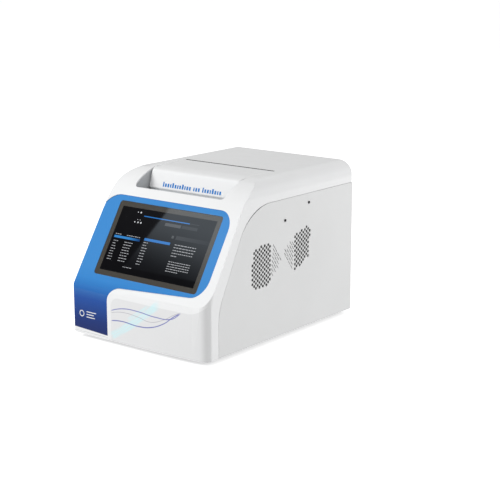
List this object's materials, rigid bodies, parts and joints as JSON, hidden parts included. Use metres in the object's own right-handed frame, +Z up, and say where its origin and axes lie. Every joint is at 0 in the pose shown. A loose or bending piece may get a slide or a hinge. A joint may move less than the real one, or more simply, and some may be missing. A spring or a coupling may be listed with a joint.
{
  "type": "thermal cycler",
  "caption": "Benchtop fluorescence thermal cycler: moulded cover with a sloping touch screen, hinged heated lid over a 96-well block, vented sides and fan-cooled sink.",
  "frame": {"origin": "on the bench, under the middle of the whole instrument", "axes": "+Z up, +X to the right of someone facing the screen, +Y to the rear"},
  "size_m": [0.318, 0.441, 0.299],
  "materials": {
    "white_plastic": "satin moulded",
    "side_paint": "fine texture paint",
    "blue_plastic": "gloss lacquer",
    "touch_glass": "printed border, polished",
    "dark_plastic": "matte",
    "fan_plastic": "glass-filled, matte",
    "deck_plastic": "matte",
    "foot_rubber": "matte",
    "aluminium": "fine machined",
    "sheet_steel": "zinc plated",
    "spring_steel": "bright wire",
    "screw_black": "black oxide",
    "ceramic": "fired ceramic",
    "circuit_board": "solder mask",
    "supply_case": "perforated zinc case with its light filling"
  },
  "bodies": {
    "casing": {"outer_cover": "white_plastic", "side_panel_left": "side_paint", "side_panel_right": "side_paint", "rear_panel": "side_paint", "display_surround": "blue_plastic", "touch_glass": "touch_glass", "lcd_module": "dark_plastic", "mains_inlet": "dark_plastic", "block_frame": "dark_plastic", "optics_housing": "dark_plastic", "optics_cover": "dark_plastic", "detector_module": "dark_plastic", "fibre_bundle": "dark_plastic", "exhaust_fan_left_frame": "fan_plastic", "exhaust_fan_right_frame": "fan_plastic", "sink_fan_frame": "fan_plastic", "block_deck": "deck_plastic", "foot_front_left": "foot_rubber", "foot_front_right": "foot_rubber", "foot_rear_left": "foot_rubber", "foot_rear_right": "foot_rubber", "sample_block": "aluminium", "heat_sink": "aluminium", "led_module": "aluminium", "base_pan": "sheet_steel", "chassis_frame": "sheet_steel", "fan_guard_left": "sheet_steel", "fan_guard_right": "sheet_steel", "usb_port": "sheet_steel", "network_port": "sheet_steel", "filter_motor": "sheet_steel", "hinge_pin": "sheet_steel", "side_screw_left_1": "screw_black", "side_screw_left_2": "screw_black", "side_screw_right_1": "screw_black", "side_screw_right_2": "screw_black", "peltier_1": "ceramic", "peltier_2": "ceramic", "peltier_3": "ceramic", "peltier_4": "ceramic", "peltier_5": "ceramic", "peltier_6": "ceramic", "display_board": "circuit_board", "main_board": "circuit_board", "block_driver_board": "circuit_board", "power_supply": "supply_case"},
    "lid": {"lid_shell": "white_plastic", "lid_liner": "deck_plastic", "plate_carrier": "sheet_steel", "plate_spring_1": "spring_steel", "plate_spring_2": "spring_steel", "plate_spring_3": "spring_steel", "plate_spring_4": "spring_steel"},
    "hot_plate": {"heated_lid_plate": "aluminium"},
    "exhaust_rotor_left": {"exhaust_fan_left_rotor": "fan_plastic"},
    "exhaust_rotor_right": {"exhaust_fan_right_rotor": "fan_plastic"},
    "sink_rotor": {"sink_fan_rotor": "fan_plastic"},
    "filter_disc": {"filter_wheel": "dark_plastic"},
    "rocker": {"power_rocker": "dark_plastic"},
    "drawer": {"fuse_drawer": "dark_plastic"}
  },
  "joints": [
    {"name": "lid_hinge", "type": "hinge", "parent": "casing", "child": "lid", "pos_m": [0, 0.0328, 0.293], "axis": [-1, 0, 0], "range_deg": [0, 78]},
    {"name": "plate_float", "type": "slide", "parent": "lid", "child": "hot_plate", "axis": [0, 0, 1], "range_m": [-0.002, 0], "stiffness_N_per_m": 9000},
    {"name": "exhaust_fan_left_spin", "type": "hinge", "parent": "casing", "child": "exhaust_rotor_left", "pos_m": [-0.052, 0.2, 0.1685], "axis": [0, 1, 0], "continuous": true},
    {"name": "exhaust_fan_right_spin", "type": "hinge", "parent": "casing", "child": "exhaust_rotor_right", "pos_m": [0.052, 0.2, 0.1685], "axis": [0, 1, 0], "continuous": true},
    {"name": "sink_fan_spin", "type": "hinge", "parent": "casing", "child": "sink_rotor", "pos_m": [0, -0.0165, 0.17], "axis": [0, 0, 1], "continuous": true},
    {"name": "filter_wheel_spin", "type": "hinge", "parent": "casing", "child": "filter_disc", "pos_m": [0, 0.11, 0.244], "axis": [0, 1, 0], "continuous": true},
    {"name": "power_rocker_tilt", "type": "hinge", "parent": "casing", "child": "rocker", "pos_m": [-0.1, 0.2145, 0.0875], "axis": [1, 0, 0], "range_deg": [-18, 0]},
    {"name": "fuse_drawer_slide", "type": "slide", "parent": "casing", "child": "drawer", "axis": [0, 1, 0], "range_m": [0, 0.022]}
  ]
}
